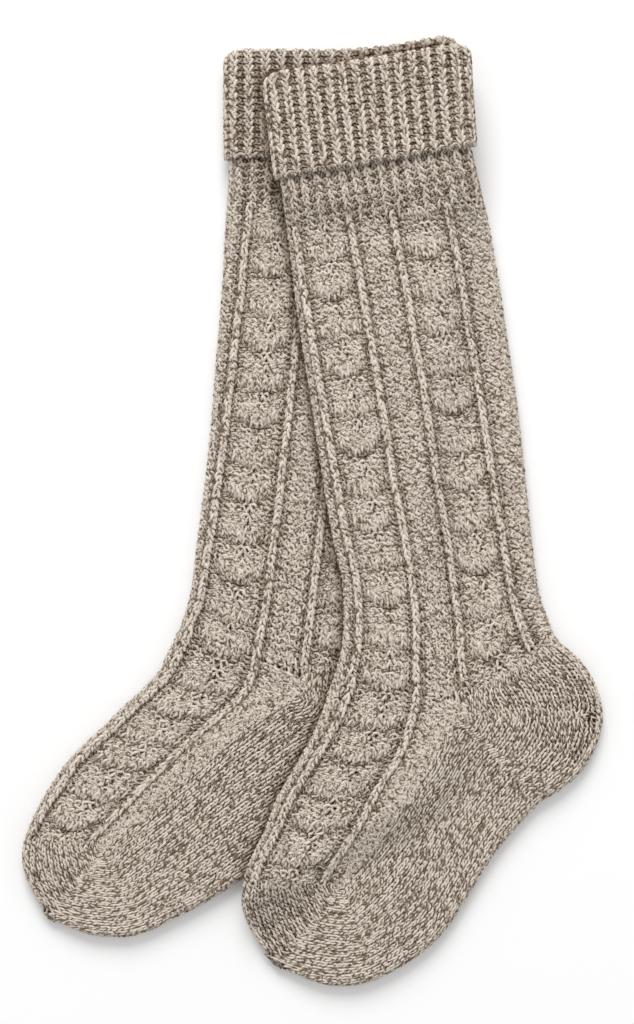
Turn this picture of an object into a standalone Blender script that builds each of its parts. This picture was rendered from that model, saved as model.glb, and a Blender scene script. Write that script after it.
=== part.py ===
"""A pair of knee-high socks in thick marled wool, laid flat, the right one partly over the left one.

Each sock is knitted in the round in one piece, so it is one closed wall. The wall starts at the toe, runs up
the foot and the leg, folds outwards at the top into the turned-down ribbed cuff, and goes back down inside the
leg to the toe. Laid flat, the tube is two layers with round edges. Every cross-section is a line across the
sock on the plan, from the front edge over the side of the foot to the back edge, with a flat tube along it.
+X is across, +Y is up the legs, +Z is up from the table.
"""

import math

import bpy
import numpy as np

MM = 0.001

# The knitting, in millimetres and in wales, which are the columns of stitches
WALL = 3.0
WALES = 32  # across the layer that shows
MOTIF = 42.0  # length of one leaf with its two scallops, about fifteen rows
RIB_RISE = 1.0
LEAF_RISE = 0.8
CUFF_RIB_RISE = 1.2

# The laid-out tube, in millimetres
LEG_THICK = 9.0
LAYER_GAP = 0.4  # between the turned-down cuff and the leg in it
CUFF_THICK = LEG_THICK + 5.8
FOLD_RADIUS = WALL + LAYER_GAP / 2
SETTLE = 26.0  # below the cuff, the leg comes down to the table over this length
CORNER = 5.0  # how far the ends of the top fold are rounded away, over a width and a length
CORNER_WIDTH = 11.0
CORNER_LENGTH = 30.0
NEAR_FOLD = (6.0, 12.0, 22.0)  # cross-sections of the cuff this far down from the top fold
MID_CUFF = 0.6  # and one at this share of the cuff's length
FOLD_STEPS = (0, 45, 90, 135)  # degrees round the top fold
TIP_ROUNDING = 0.9  # of the half thickness that is lost at the toe's tip, as on a circle
LEG_STEP = MOTIF / 4  # between cross-sections of the leg
REST_GAP = 0.3  # between the right sock and the left one under it
HEM_CLEAR = 18.0  # below the left cuff's hem, the right sock stays at the cuff's height over this length
CLEAR = 4.0  # beside the left sock, the right one stays at full height over this length
RAMP = 28.0  # and then comes down to the table over this length
LOWER_COLUMNS = 10  # between the round edges, enough for the lower layer to follow that slope

# Places of the raised columns, in wales from the front edge. The front half goes on down the instep.
INSTEP_RIBS = (3.5, 12.5)
BACK_RIBS = (19.5, 28.5)
RIB_HALF = 0.8  # half the width of a rib
INSTEP_LEAF = 4.0
BACK_LEAF = 20.0
LEAF_WIDTH = 8.0
SIDE = 0.61  # the side of the foot, as a share of the way from the front edge to the back edge
BEND = 0.18  # half the length of a cross-section's bend at the side, as the same kind of share

# The round edge of the tube: share of the edge's width, and share of its half thickness there
EDGE = ((0.0, 0.0), (0.134, 0.5), (0.5, 0.866), (1.0, 1.0))
EDGE_WALES = 1.4

# Cross-sections of each sock from the top to the toe, in millimetres on the plan. "cuff" gives the top fold and
# the hem. In "heel" the lines fan out round the side of the foot, and in "toe" they close on the tip. The leg is
# laid a little turned, so "ribs" gives where its ribs lie at its top, its middle and the heel, in wales.
LINE_COLUMNS = ("front_x", "front_y", "side_x", "side_y", "back_x", "back_y")
RIGHT = {
    "cuff": (
        (-28, 237, 41, 247, 86, 255),
        (-21, 179, 47, 190, 90, 198),
    ),
    "ribs": ((2.6, 10.3, 16.8, 25.1), (2.9, 11.3, 17.7, 26.0), (3.5, 12.5, 19.4, 28.2)),
    "leg": (
        (-17, 174, 47, 185, 88, 192),
        (-13, 145, 53, 156, 96, 163),
        (-9, 112, 59, 123, 102, 130),
        (-4, 79, 64, 90, 107, 97),
        (1, 46, 69, 57, 112, 64),
        (6, 13, 73, 24, 116, 31),
        (11, -16, 77, -6, 119, 1),
        (16, -38, 80, -36, 122, -26),
        (17, -57, 82, -62, 125, -46),
        (16, -75, 82, -86, 130, -60),
    ),
    "heel": (
        (12, -90, 83, -104, 135, -71),
        (11, -93, 83, -106, 148, -83),
        (10, -95, 83, -108, 157, -98),
        (9, -98, 82, -110, 160, -113),
        (8, -101, 82, -111, 157, -128),
        (7, -104, 81, -112, 149, -143),
        (6, -108, 79, -114, 137, -154),
    ),
    "foot": (
        (5, -111, 77, -115, 126, -161),
        (0, -123, 70, -126, 114, -173),
        (-6, -134, 64, -138, 103, -186),
        (-13, -146, 55, -149, 94, -199),
        (-20, -158, 48, -161, 85, -214),
        (-24, -169, 41, -172, 75, -229),
        (-29, -181, 32, -184, 64, -241),
        (-35, -193, 24, -195, 50, -251),
    ),
    "toe": (
        (-38, -205, 16, -206, 34, -259),
        (-39, -215, 9, -217, 22, -262),
        (-37, -224, 0, -228, 11, -262),
        (-34, -231, -8, -237, 2, -260),
        (-30, -237, -15, -244, -5, -257),
        (-26, -242, -20, -248, -12, -254),
    ),
}
LEFT = {
    "cuff": (
        (-49, 253, 31, 253, 80, 262),
        (-49, 192, 30, 195, 80, 199),
    ),
    "ribs": ((4.3, 12.4, 19.2, 27.6), (3.1, 12.4, 19.1, 27.8), (2.6, 12.3, 19.0, 28.0)),
    "leg": (
        (-46, 188, 29, 192, 76, 195),
        (-48, 156, 23, 159, 69, 161),
        (-50, 120, 19, 121, 64, 121),
        (-53, 84, 16, 83, 60, 82),
        (-56, 46, 11, 42, 54, 40),
        (-60, 10, 7, 5, 50, 1),
        (-64, -20, 3, -32, 48, -27),
        (-67, -45, -1, -62, 49, -50),
    ),
    "heel": (
        (-72, -62, -5, -91, 54, -71),
        (-73, -65, -5, -93, 62, -88),
        (-75, -68, -5, -95, 68, -105),
        (-76, -71, -6, -97, 69, -121),
        (-78, -75, -8, -99, 64, -134),
        (-80, -79, -10, -100, 54, -147),
        (-82, -83, -13, -102, 42, -156),
    ),
    "foot": (
        (-84, -88, -16, -104, 27, -164),
        (-94, -99, -28, -112, 12, -173),
        (-105, -109, -40, -121, -2, -182),
        (-116, -120, -53, -131, -17, -191),
        (-127, -130, -65, -142, -32, -199),
        (-137, -141, -78, -153, -47, -209),
        (-145, -153, -90, -164, -62, -218),
        (-152, -165, -103, -175, -76, -225),
    ),
    "toe": (
        (-158, -179, -115, -186, -90, -232),
        (-160, -189, -121, -195, -101, -235),
        (-159, -198, -128, -203, -111, -235),
        (-156, -206, -134, -211, -121, -234),
        (-152, -213, -139, -218, -130, -231),
        (-149, -218, -144, -223, -138, -227),
    ),
}

WOOL = ("marled_wool", (0.44, 0.37, 0.30, 1.0), 0.95)


def ease(share):
    """0 to 1 with level ends, for a share from 0 to 1."""
    share = np.clip(share, 0.0, 1.0)
    return share * share * (3 - 2 * share)


def smooth_row(rows, place):
    """The row at a place between whole numbers, on a Catmull-Rom curve through all the rows."""
    whole = min(int(place), len(rows) - 2)
    share = place - whole
    before, start, end, after = (
        rows[min(max(index, 0), len(rows) - 1)] for index in range(whole - 1, whole + 3)
    )
    return 0.5 * (
        2 * start
        + (end - before) * share
        + (2 * before - 5 * start + 4 * end - after) * share**2
        + (3 * start - before - 3 * end + after) * share**3
    )


def soft_ramp(distance):
    """0 before the start and the distance itself after it, with a round bend between them."""
    bend = (distance + BEND) ** 2 / (4 * BEND)
    return np.where(distance < -BEND, 0.0, np.where(distance > BEND, distance, bend))


def edge_columns():
    return [width * EDGE_WALES for width, _ in EDGE]


def panel_columns():
    """Wales across the leg's upper layer: three to each rib, three to each leaf and one to the moss stitch."""
    inner = {(INSTEP_RIBS[1] + BACK_RIBS[0]) / 2}
    for rib in INSTEP_RIBS + BACK_RIBS:
        inner |= {rib - RIB_HALF, rib, rib + RIB_HALF}
    for leaf in (INSTEP_LEAF, BACK_LEAF):
        inner |= {leaf + LEAF_WIDTH * share for share in (0.25, 0.5, 0.75)}
    return with_edges(sorted(inner))


def rib_columns():
    """Wales across the cuff's upper layer: a flat-topped rib on every second wale, with a groove after it."""
    inner = [2 * pair + place for pair in range(WALES // 2) for place in (0.45, 1.45, 1.95)]
    return with_edges([wale for wale in inner if EDGE_WALES < wale < WALES - EDGE_WALES])


def plain_columns(count):
    step = (WALES - 2 * EDGE_WALES) / (count + 1)
    return with_edges([EDGE_WALES + step * (index + 1) for index in range(count)])


def with_edges(inner):
    return edge_columns() + inner + [WALES - wale for wale in reversed(edge_columns())]


def around(upper, lower):
    """A closed loop of columns: over the upper layer from front to back, and home along the lower layer."""
    wales = list(upper) + list(reversed(lower))[1:-1]
    layer = [1.0] * len(upper) + [-1.0] * (len(lower) - 2)
    return np.array(wales), np.array(layer)


def edge_profile(distance):
    """Share of the tube's half thickness at a distance from its edge, in edge widths."""
    reach = np.clip(distance, 0.0, 1.0)
    return np.sqrt(1 - (1 - reach) ** 2)


class Sock:
    """The cross-sections of one sock, and the closed loft through them."""

    def __init__(self, table, lift, lower_columns):
        self.fold, self.hem = np.array(table["cuff"], float).reshape(2, 3, 2)
        parts = ("leg", "heel", "foot", "toe")
        rows = [row for part in parts for row in table[part]]
        self.rows = np.array(rows, float).reshape(len(rows), len(LINE_COLUMNS) // 2, 2)
        counts = [len(table[part]) for part in parts]
        self.heel_start, self.foot_start, self.toe_start = (sum(counts[:n]) for n in (1, 2, 3))
        self.last = len(rows) - 1
        self.ribs = np.array(table["ribs"])
        self.lift = lift
        self.lower_columns = lower_columns
        self.down = self.hem.mean(axis=0) - self.fold.mean(axis=0)
        self.cuff_length = float(np.linalg.norm(self.down))
        self.down /= self.cuff_length
        self.points = []
        self.faces = []

    def leg_places(self):
        """Row places down the leg, LEG_STEP apart along the side line."""
        fine = np.linspace(0, self.heel_start, 400)
        side = np.array([smooth_row(self.rows, place)[1] for place in fine])
        walked = np.append(0, np.cumsum(np.linalg.norm(np.diff(side, axis=0), axis=1)))
        count = round(walked[-1] / LEG_STEP)
        return list(np.interp(np.linspace(0, walked[-1], count + 1), walked, fine))

    def walked(self, place):
        """Distance along the side line from the leg's first row, for the leaves."""
        fine = np.linspace(0, place, max(2, int(12 * place)))
        side = np.array([smooth_row(self.rows, each)[1] for each in fine])
        return float(np.linalg.norm(np.diff(side, axis=0), axis=1).sum())

    def line_of_cuff(self, down):
        """Front, side and back points of the line across the cuff, a length down from the top fold."""
        return self.fold + (self.hem - self.fold) * down / self.cuff_length

    def panels(self, wales, place):
        """Height of the ribs and leaves at each column of a row of the leg or foot."""
        rise = np.zeros(len(wales))
        on_back = float(ease((self.heel_start - place) / 0.6))
        on_instep = float(ease((self.toe_start - place) / 1.5))
        for ribs, leaf, share in (
            (INSTEP_RIBS, INSTEP_LEAF, on_instep),
            (BACK_RIBS, BACK_LEAF, on_back),
        ):
            for rib in ribs:
                rise += share * RIB_RISE * (np.abs(wales - rib) < 0.1)
            turn = 2 * math.pi * self.walked(place) / MOTIF
            for half, phase in ((0.25, 0.0), (0.5, math.pi / 2), (0.75, math.pi)):
                here = np.abs(wales - leaf - LEAF_WIDTH * half) < 0.1
                rise += share * LEAF_RISE * here * (0.5 + 0.5 * math.cos(turn + phase))
        return rise * ease(place / 0.5)

    def turned(self, wales, place):
        """Where each column of the leg lies on the tube, with the ribs at their own places and full width."""
        down = (0, self.heel_start / 2, self.heel_start)
        knit, lie = [0.0, EDGE_WALES], [0.0, EDGE_WALES]
        for rib, places in zip(INSTEP_RIBS + BACK_RIBS, self.ribs.T):
            middle = np.interp(place, down, places)
            for side in (-RIB_HALF, RIB_HALF):
                knit.append(rib + side)
                lie.append(middle + side)
        knit += [WALES - EDGE_WALES, WALES]
        lie += [WALES - EDGE_WALES, WALES]
        return np.interp(wales, knit, lie)

    def ring(self, line, inset, bottom, top, columns, rise=None, outward=0.0, fold_share=0.0):
        """Adds one closed ring of points and returns its indices.

        The plan runs straight from the front point to the back point by way of the side, where its bend is
        round, and is moved in by inset at both ends. The height is a flat tube with round edges. rise lifts
        points of the upper layer, and outward turns that lift from straight up towards up the leg. fold_share
        rounds the corners of the top fold.
        """
        wales, layer = columns
        front, side, back = line
        front = front + inset * (side - front) / np.linalg.norm(side - front)
        back = back + inset * (side - back) / np.linalg.norm(side - back)
        length = np.linalg.norm(side - front) + np.linalg.norm(back - side)
        half = (top - bottom) / 2
        width = min(half, 0.2 * length) / length
        share = (wales - EDGE_WALES) / (WALES - 2 * EDGE_WALES)
        across = np.where(
            wales <= EDGE_WALES,
            wales / EDGE_WALES * width,
            np.where(
                wales >= WALES - EDGE_WALES,
                1 - (WALES - wales) / EDGE_WALES * width,
                width + share * (1 - 2 * width),
            ),
        )
        from_edge = np.minimum(across, 1 - across)
        at_front = soft_ramp(SIDE - across) / SIDE
        at_back = soft_ramp(across - SIDE) / (1 - SIDE)
        at_side = 1 - at_front - at_back
        plan = np.outer(at_front, front) + np.outer(at_side, side) + np.outer(at_back, back)
        height = (top + bottom) / 2 + layer * half * edge_profile(from_edge / width)
        corner = np.clip(1 - (from_edge * length + inset) / CORNER_WIDTH, 0, 1) ** 2
        plan += np.outer(CORNER * fold_share * corner, self.down)
        if rise is not None:
            lifted = rise * (layer > 0) * edge_profile(from_edge / width)
            height += lifted * math.cos(outward)
            plan -= np.outer(lifted * math.sin(outward), self.down)
        height += self.lift(plan)
        first = len(self.points)
        self.points.extend(np.column_stack([plan, height]))
        turn = np.where(layer > 0, wales / WALES / 2, 1 - wales / WALES / 2)
        return first + np.arange(len(wales)), turn

    def join(self, one, two):
        """Faces between two rings: quads where they have the same columns, or else triangles like a zip."""
        (a, turn_a), (b, turn_b) = one, two
        if len(a) == len(b):
            for index in range(len(a)):
                after = (index + 1) % len(a)
                self.faces.append((a[index], a[after], b[after], b[index]))
            return
        i = j = 0
        turn_a, turn_b = np.append(turn_a, 1.0), np.append(turn_b, 1.0)
        while i < len(a) or j < len(b):
            if j == len(b) or (i < len(a) and turn_a[i + 1] <= turn_b[j + 1]):
                self.faces.append((a[i], a[(i + 1) % len(a)], b[j % len(b)]))
                i += 1
            else:
                self.faces.append((a[i % len(a)], b[(j + 1) % len(b)], b[j]))
                j += 1

    def cap(self, ring, outer):
        """Closes a ring with triangles to its middle."""
        indices = ring[0]
        middle = len(self.points)
        self.points.append(np.mean([self.points[index] for index in indices], axis=0))
        for index, start in enumerate(indices):
            end = indices[(index + 1) % len(indices)]
            self.faces.append((start, middle, end) if outer else (start, end, middle))

    def heights(self, place):
        """Bottom and top of the laid tube at a row: settling below the cuff, thinning to the toe's tip."""
        settled = float(ease(self.walked(place) / SETTLE)) if place < 3 else 1.0
        cuff_part = (WALL + LAYER_GAP) * (1 - settled)
        top = LEG_THICK + (CUFF_THICK - WALL - LAYER_GAP - LEG_THICK) * (1 - settled)
        to_tip = max(0.0, place - self.toe_start) / (self.last - self.toe_start)
        thin = (LEG_THICK / 2) * (1 - math.sqrt(1 - (TIP_ROUNDING * to_tip) ** 2))
        return cuff_part + thin, top - thin

    def leg_ring(self, place, inset, columns, raised=False):
        bottom, top = self.heights(place)
        line = smooth_row(self.rows, place)
        rise = None
        if raised:
            wales, layer = columns
            rise = self.panels(wales, place)
            columns = np.where(layer > 0, self.turned(wales, place), wales), layer
        return self.ring(line, inset, bottom + inset, top - inset, columns, rise)

    def cuff_ring(self, down, inset, columns, rise=None, outward=0.0):
        fold_share = float(ease(1 - down / CORNER_LENGTH))
        line = self.line_of_cuff(down)
        return self.ring(line, inset, inset, CUFF_THICK - inset, columns, rise, outward, fold_share)

    def outer_places(self):
        down_leg = self.leg_places()
        heel = list(range(self.heel_start + 1, self.foot_start + 1))
        foot = list(np.arange(self.foot_start + 0.5, self.toe_start, 0.5))
        toe = list(range(self.toe_start, self.last + 1))
        return down_leg + heel + foot + toe

    def rings(self):
        """All the rings in order, from the outside of the toe's tip to the inside of it."""
        lower = plain_columns(self.lower_columns)
        panels, ribs = around(panel_columns(), lower), around(rib_columns(), lower)
        plain = around(lower, lower)
        leg_inset = WALL + LAYER_GAP
        rib_rise = CUFF_RIB_RISE * ((ribs[0] % 2.0 < 1.7) & (ribs[0] % 2.0 > 0.2))
        for place in reversed(self.outer_places()):
            yield self.leg_ring(place, 0.0, panels, raised=True)
        # Inside the cuff: the leg's outer side goes up to the fold, and the cuff's inner side comes down from it
        near_hem = self.cuff_length - WALL / 2
        inside_cuff = (near_hem, self.cuff_length * MID_CUFF, NEAR_FOLD[1], FOLD_RADIUS)
        for down in inside_cuff:
            yield self.cuff_ring(down, leg_inset, plain)
        for down in reversed(inside_cuff):
            yield self.cuff_ring(down, WALL, plain)
        # The hem, the ribs up the outside of the cuff, and the top fold
        yield self.cuff_ring(self.cuff_length, WALL / 2, ribs, rib_rise, -math.pi / 3)
        for down in (near_hem, self.cuff_length * MID_CUFF, *reversed(NEAR_FOLD)):
            yield self.cuff_ring(down, 0.0, ribs, rib_rise)
        for angle in np.radians(FOLD_STEPS):
            down = FOLD_RADIUS * (1 - math.sin(angle))
            fade = 1.0 if angle <= math.pi / 2 else 0.4
            yield self.cuff_ring(down, FOLD_RADIUS * (1 - math.cos(angle)), ribs, rib_rise * fade, angle)
        # The inner side of the leg and foot
        for down in reversed(inside_cuff):
            yield self.cuff_ring(down, 2 * FOLD_RADIUS, plain)
        inner_places = [0.0, 0.5, *range(1, self.last - 1)]
        for place in inner_places:
            yield self.leg_ring(place, WALL, plain)

    def build(self):
        previous = None
        for ring in self.rings():
            if previous is None:
                self.cap(ring, outer=True)
            else:
                self.join(previous, ring)
            previous = ring
        self.cap(previous, outer=False)
        return np.array(self.points), self.faces


def flat_on_table(plan):
    return np.zeros(len(plan))


def outline_of(table):
    """Plan outline of a laid sock: down its front edge from the top fold to the toe, and back up."""
    sock = Sock(table, flat_on_table, 0)
    places = np.arange(0, sock.last + 0.01, 0.5)
    lines = [sock.line_of_cuff(0.0), sock.line_of_cuff(sock.cuff_length)]
    lines += [smooth_row(sock.rows, place) for place in places]
    front = [line[0] for line in lines]
    back = [line[2] for line in lines]
    return np.array(front + back[::-1])


def distance_outside(plan, outline):
    """Distance of each point from the outline, and 0 inside it."""
    start, end = outline, np.roll(outline, -1, axis=0)
    along = end - start
    to_point = plan[:, None] - start
    share = np.clip((to_point * along).sum(2) / (along**2).sum(1), 0, 1)
    nearest = np.linalg.norm(to_point - share[..., None] * along, axis=2).min(axis=1)
    above = start[:, 1] > plan[:, 1:2]
    crosses = above != (end[:, 1] > plan[:, 1:2])
    slope = along[:, 0] / np.where(np.abs(along[:, 1]) < 1e-9, 1e-9, along[:, 1])
    at = start[:, 0] + (plan[:, 1:2] - start[:, 1]) * slope
    inside = (crosses & (at > plan[:, :1])).sum(axis=1) % 2 == 1
    return np.where(inside, 0.0, nearest)


def over(table):
    """How high the right sock must lie over the left sock at each point of the plan."""
    outline = outline_of(table)
    hem = min(table["cuff"][1][1::2])
    on_leg = LEG_THICK + RIB_RISE + REST_GAP
    on_cuff = CUFF_THICK + CUFF_RIB_RISE + REST_GAP

    def lift(plan):
        beside = distance_outside(plan, outline)
        below_hem = ease((hem - HEM_CLEAR - plan[:, 1]) / SETTLE)
        height = on_cuff + (on_leg - on_cuff) * below_hem
        return height * ease(1 - (beside - CLEAR) / RAMP)

    return lift


def wool():
    name, colour, roughness = WOOL
    material = bpy.data.materials.new(name)
    material.use_nodes = True
    shader = material.node_tree.nodes["Principled BSDF"]
    shader.inputs["Base Color"].default_value = colour
    shader.inputs["Roughness"].default_value = roughness
    return material


def add_object(name, points, faces, material, collection):
    mesh = bpy.data.meshes.new(name)
    mesh.from_pydata(points * MM, [], faces)
    mesh.shade_smooth()
    mesh.set_sharp_from_angle(angle=math.radians(40))
    mesh.materials.append(material)
    collection.objects.link(bpy.data.objects.new(name, mesh))


def main():
    for existing in list(bpy.data.objects):
        bpy.data.objects.remove(existing)
    collection = bpy.data.collections.new("knee_high_socks")
    bpy.context.scene.collection.children.link(collection)
    left = Sock(LEFT, flat_on_table, 3).build()
    right = Sock(RIGHT, over(LEFT), LOWER_COLUMNS).build()
    # The origin is on the table under the middle of the pair
    both = np.concatenate([left[0], right[0]])
    middle = (both.min(axis=0) + both.max(axis=0)) / 2
    middle[2] = both[:, 2].min()
    material = wool()
    for name, (points, faces) in (("sock_left", left), ("sock_right", right)):
        add_object(name, points - middle, faces, material, collection)


main()
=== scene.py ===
# %% [markdown]
# # A pair of thick knitted knee socks, laid flat
#
# This notebook dresses two plain solids as knitted socks. The real socks are knitted in the round from one
# marled two-ply wool yarn: a cuff in 1x1 rib that is turned down once, a leg with raised ribs, leaf panels
# and moss stitch, a short-row heel, and a foot and toe in stockinette with the panels going on down the
# instep. A knitted surface could be faked with a bump pattern, but its edges would stay smooth and its
# shadows flat. Here the yarn itself is made: every stitch that can be seen is a loop of a real tube.

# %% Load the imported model
from types import SimpleNamespace

import bpy
import numpy as np
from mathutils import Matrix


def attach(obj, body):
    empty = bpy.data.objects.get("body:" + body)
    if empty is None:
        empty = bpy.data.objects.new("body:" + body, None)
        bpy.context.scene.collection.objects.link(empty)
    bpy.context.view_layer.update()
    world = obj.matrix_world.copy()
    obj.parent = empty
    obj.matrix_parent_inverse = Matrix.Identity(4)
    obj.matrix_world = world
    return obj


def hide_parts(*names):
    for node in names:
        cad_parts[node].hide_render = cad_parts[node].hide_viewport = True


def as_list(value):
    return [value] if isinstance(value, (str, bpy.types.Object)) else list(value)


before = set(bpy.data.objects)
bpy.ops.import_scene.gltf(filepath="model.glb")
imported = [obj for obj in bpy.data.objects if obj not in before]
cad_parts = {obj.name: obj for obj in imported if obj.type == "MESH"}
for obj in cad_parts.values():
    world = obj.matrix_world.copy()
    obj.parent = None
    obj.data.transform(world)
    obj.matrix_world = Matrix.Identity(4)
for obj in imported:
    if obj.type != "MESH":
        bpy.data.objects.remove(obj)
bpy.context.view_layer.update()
print("the solids:", sorted(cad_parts))

# %% [markdown]
# ## The camera
#
# The pair is seen from straight above. The camera looks down a long lens from 1.5 m, so that heights of a
# centimetre hardly shift anything. The width that it takes in at the socks follows from the scale of 0.55 mm
# to a pixel of the 634 x 1024 frame.

# %% The camera
FRAME_PIXELS = (634, 1024)
PIXEL = 0.00055
CAMERA_HEIGHT = 1.5
AIM = (0.0025, -0.0008)
AIM_LEVEL = 0.006
SENSOR = 36.0


def add_camera():
    data = bpy.data.cameras.new("camera")
    data.sensor_fit = "VERTICAL"
    data.sensor_height = SENSOR
    data.lens = SENSOR * (CAMERA_HEIGHT - AIM_LEVEL) / (FRAME_PIXELS[1] * PIXEL)
    camera = bpy.data.objects.new("camera", data)
    camera.location = (*AIM, CAMERA_HEIGHT)
    bpy.context.scene.collection.objects.link(camera)
    bpy.context.scene.camera = camera
    return camera


camera = add_camera()
print(f"lens {camera.data.lens:.1f} mm")

# %% [markdown]
# ## The floor and the light
#
# The floor is one large white plane. A bright even sky fills every groove of the knitting with some light,
# as the white walls of a small studio do, and one broad lamp beyond the cuffs gives the soft shading that
# makes the ribs stand out and throws the short shadows below the heels and toes.

# %% The floor and the light
FLOOR_SIZE = 3.0
FLOOR_LEVEL = -0.0006
FLOOR_COLOUR = (0.975, 0.975, 0.975, 1.0)
SKY = (1.0, 1.0, 1.0, 1.0)
SKY_STRENGTH = 0.66
LAMP_PLACE = (-0.3, 3.0, 2.4)
LAMP_SIZE = 2.4
LAMP_POWER = 106.0


def add_floor():
    half = FLOOR_SIZE / 2
    corners = [(-half, -half), (half, -half), (half, half), (-half, half)]
    mesh = bpy.data.meshes.new("floor")
    mesh.from_pydata([(x, y, FLOOR_LEVEL) for x, y in corners], [], [(0, 1, 2, 3)])
    material = bpy.data.materials.new("white_table")
    material.use_nodes = True
    shader = material.node_tree.nodes["Principled BSDF"]
    shader.inputs["Base Color"].default_value = FLOOR_COLOUR
    shader.inputs["Roughness"].default_value = 0.9
    mesh.materials.append(material)
    floor = bpy.data.objects.new("floor", mesh)
    bpy.context.scene.collection.objects.link(floor)


def add_light():
    world = bpy.data.worlds.new("sky")
    world.use_nodes = True
    background = world.node_tree.nodes["Background"]
    background.inputs["Color"].default_value = SKY
    background.inputs["Strength"].default_value = SKY_STRENGTH
    bpy.context.scene.world = world
    data = bpy.data.lights.new("broad_lamp", "AREA")
    data.shape = "DISK"
    data.size = LAMP_SIZE
    data.energy = LAMP_POWER
    lamp = bpy.data.objects.new("broad_lamp", data)
    lamp.location = LAMP_PLACE
    aim = bpy.data.objects.new("lamp_aim", None)
    bpy.context.scene.collection.objects.link(aim)
    bpy.context.scene.collection.objects.link(lamp)
    track = lamp.constraints.new("TRACK_TO")
    track.target = aim


add_floor()
add_light()
bpy.context.scene.view_settings.view_transform = "Standard"
print("floor, sky and one lamp")

# %% [markdown]
# ## How each sock lies
#
# A laid sock is a flat tube. Every row of its knitting is a line across it on the plan, given by three
# points: on the front edge, on the side of the foot and on the back edge. The tables hold these lines in
# millimetres from the cuff to the toe, and a smooth curve through them gives every row between. They are the
# same lines that the solids are lofted through, so the knitting lies where the solids are. The leg is laid a
# little turned, so its ribs don't run quite along its edges: a second table says where they lie at three
# places down the leg.

# %% The lines across the socks
WALES = 32
WALL = 3.0
LEG_THICK = 9.0
LAYER_GAP = 0.4
CUFF_THICK = LEG_THICK + 5.8
FOLD_RADIUS = WALL + LAYER_GAP / 2
HEM_RADIUS = WALL / 2
SETTLE = 26.0
TIP_ROUNDING = 0.9
SIDE = 0.61
BEND = 0.18
HEEL_TURN = 3  # rows of the table from the heel's first line to its outermost point

RIGHT = {
    "cuff": ((-28, 237, 41, 247, 86, 255), (-21, 179, 47, 190, 90, 198)),
    "ribs": ((1.9, 10.3, 16.8, 25.1), (2.8, 11.3, 17.7, 26.0), (3.4, 12.5, 19.4, 28.2)),
    "instep_ribs": ((0.15, 0.13, 0.09), (0.63, 0.72, 0.79)),
    "leg": (
        (-17, 174, 47, 185, 88, 192),
        (-13, 145, 53, 156, 96, 163),
        (-9, 112, 59, 123, 102, 130),
        (-4, 79, 64, 90, 107, 97),
        (1, 46, 69, 57, 112, 64),
        (6, 13, 73, 24, 116, 31),
        (11, -16, 77, -6, 119, 1),
        (16, -38, 80, -36, 122, -26),
        (17, -57, 82, -62, 125, -46),
        (16, -75, 82, -86, 130, -60),
    ),
    "heel": (
        (12, -90, 83, -104, 135, -71),
        (11, -93, 83, -106, 148, -83),
        (10, -95, 83, -108, 157, -98),
        (9, -98, 82, -110, 160, -113),
        (8, -101, 82, -111, 157, -128),
        (7, -104, 81, -112, 149, -143),
        (6, -108, 79, -114, 137, -154),
    ),
    "foot": (
        (5, -111, 77, -115, 126, -161),
        (0, -123, 70, -126, 114, -173),
        (-6, -134, 64, -138, 103, -186),
        (-13, -146, 55, -149, 94, -199),
        (-20, -158, 48, -161, 85, -214),
        (-24, -169, 41, -172, 75, -229),
        (-29, -181, 32, -184, 64, -241),
        (-35, -193, 24, -195, 50, -251),
    ),
    "toe": (
        (-38, -205, 16, -206, 34, -259),
        (-39, -215, 9, -217, 22, -262),
        (-37, -224, 0, -228, 11, -262),
        (-34, -231, -8, -237, 2, -260),
        (-30, -237, -15, -244, -5, -257),
        (-26, -242, -20, -248, -12, -254),
    ),
}
LEFT = {
    "cuff": ((-49, 253, 31, 253, 80, 262), (-49, 192, 30, 195, 80, 199)),
    "ribs": ((4.4, 12.4, 19.2, 27.6), (3.0, 12.4, 19.1, 27.8), (2.3, 12.3, 19.0, 28.0)),
    "instep_ribs": ((0.08, 0.08, 0.08), (0.61, 0.71, 0.80)),
    "leg": (
        (-46, 188, 29, 192, 76, 195),
        (-48, 156, 23, 159, 69, 161),
        (-50, 120, 19, 121, 64, 121),
        (-53, 84, 16, 83, 60, 82),
        (-56, 46, 11, 42, 54, 40),
        (-60, 10, 7, 5, 50, 1),
        (-64, -20, 3, -32, 48, -27),
        (-67, -45, -1, -62, 49, -50),
    ),
    "heel": (
        (-72, -62, -5, -91, 54, -71),
        (-73, -65, -5, -93, 62, -88),
        (-75, -68, -5, -95, 68, -105),
        (-76, -71, -6, -97, 69, -121),
        (-78, -75, -8, -99, 64, -134),
        (-80, -79, -10, -100, 54, -147),
        (-82, -83, -13, -102, 42, -156),
    ),
    "foot": (
        (-84, -88, -16, -104, 27, -164),
        (-94, -99, -28, -112, 12, -173),
        (-105, -109, -40, -121, -2, -182),
        (-116, -120, -53, -131, -17, -191),
        (-127, -130, -65, -142, -32, -199),
        (-137, -141, -78, -153, -47, -209),
        (-145, -153, -90, -164, -62, -218),
        (-152, -165, -103, -175, -76, -225),
    ),
    "toe": (
        (-158, -179, -115, -186, -90, -232),
        (-160, -189, -121, -195, -101, -235),
        (-159, -198, -128, -203, -111, -235),
        (-156, -206, -134, -211, -121, -234),
        (-152, -213, -139, -218, -130, -231),
        (-149, -218, -144, -223, -138, -227),
    ),
}


def ease(share):
    """0 to 1 with level ends: 3s^2 - 2s^3 of the share, held within 0 and 1."""
    share = np.clip(share, 0.0, 1.0)
    return share * share * (3 - 2 * share)


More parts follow.
